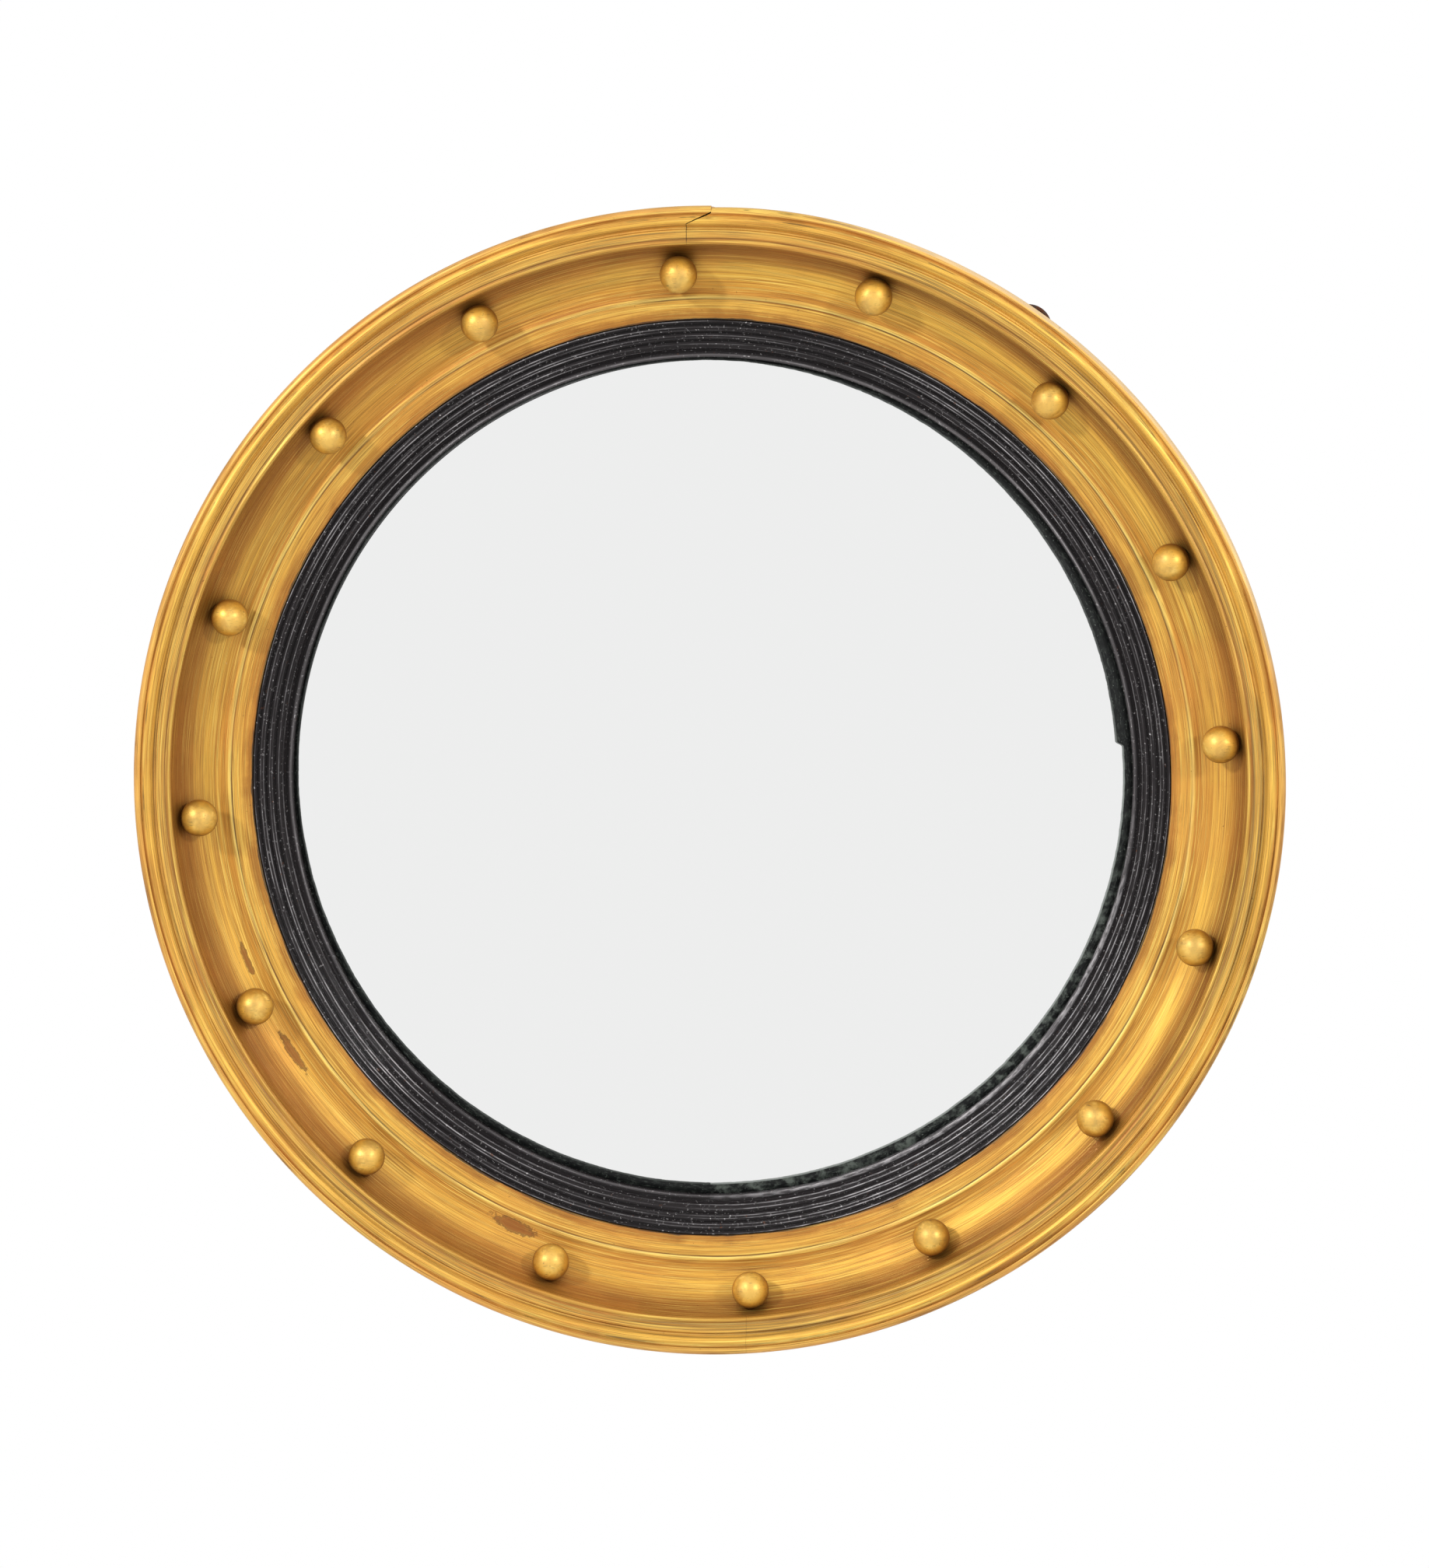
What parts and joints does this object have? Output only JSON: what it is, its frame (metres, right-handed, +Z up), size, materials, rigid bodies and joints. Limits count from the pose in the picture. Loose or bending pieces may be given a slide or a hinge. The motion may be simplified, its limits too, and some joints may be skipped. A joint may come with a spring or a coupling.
{
  "type": "convex butlers mirror",
  "caption": "Round convex wall mirror in a gilded cavetto frame set with balls, with a reeded rim, an ebonised slip and ring hangers on its back.",
  "frame": {"origin": "centre of the backboard's rear face, where the mirror meets the wall", "axes": "+Z up, +Y into the wall, the glass faces -Y, +X to the viewer's right"},
  "size_m": [0.56, 0.064, 0.56],
  "materials": {
    "gilt_wood": "worn water gilding over red bole, brown toned",
    "ebonised_wood": "ebonised and polished",
    "mirror_glass": "silvered convex glass",
    "bare_wood": "sawn softwood, darkened with age",
    "dark_iron": "browned wrought iron",
    "screw_brass": "dull, slotted heads"
  },
  "bodies": {
    "frame": {"rim_hoop_left": "gilt_wood", "rim_hoop_right": "gilt_wood", "cavetto_ring": "gilt_wood", "ball_01": "gilt_wood", "ball_02": "gilt_wood", "ball_03": "gilt_wood", "ball_04": "gilt_wood", "ball_05": "gilt_wood", "ball_06": "gilt_wood", "ball_07": "gilt_wood", "ball_08": "gilt_wood", "ball_09": "gilt_wood", "ball_10": "gilt_wood", "ball_11": "gilt_wood", "ball_12": "gilt_wood", "ball_13": "gilt_wood", "ball_14": "gilt_wood", "ball_15": "gilt_wood", "ball_16": "gilt_wood", "ebonised_slip": "ebonised_wood", "convex_glass": "mirror_glass", "back_segment_1": "bare_wood", "back_segment_2": "bare_wood", "back_segment_3": "bare_wood", "back_segment_4": "bare_wood", "back_segment_5": "bare_wood", "back_segment_6": "bare_wood", "back_segment_7": "bare_wood", "back_segment_8": "bare_wood", "glass_block_1": "bare_wood", "glass_block_2": "bare_wood", "glass_block_3": "bare_wood", "glass_block_4": "bare_wood", "glass_block_5": "bare_wood", "glass_block_6": "bare_wood", "glass_block_7": "bare_wood", "glass_block_8": "bare_wood", "backboard_left": "bare_wood", "backboard_middle": "bare_wood", "backboard_right": "bare_wood", "board_screw_1": "screw_brass", "board_screw_2": "screw_brass", "board_screw_3": "screw_brass", "board_screw_4": "screw_brass", "board_screw_5": "screw_brass", "board_screw_6": "screw_brass", "board_screw_7": "screw_brass", "board_screw_8": "screw_brass", "hanger_strap_left": "dark_iron", "strap_screw_left_1": "dark_iron", "strap_screw_left_2": "dark_iron", "hanger_strap_right": "dark_iron", "strap_screw_right_1": "dark_iron", "strap_screw_right_2": "dark_iron"},
    "ring_left": {"hanging_ring_left": "dark_iron"},
    "ring_right": {"hanging_ring_right": "dark_iron"}
  },
  "joints": [
    {"name": "ring_left_swing", "type": "hinge", "parent": "frame", "child": "ring_left", "pos_m": [-0.14883, -0.00407, 0.21334], "axis": [-0.8202, 0, -0.5721], "range_deg": [-5, 180]},
    {"name": "ring_right_swing", "type": "hinge", "parent": "frame", "child": "ring_right", "pos_m": [0.14883, -0.00407, 0.21334], "axis": [-0.8202, 0, 0.5721], "range_deg": [-5, 180]}
  ]
}
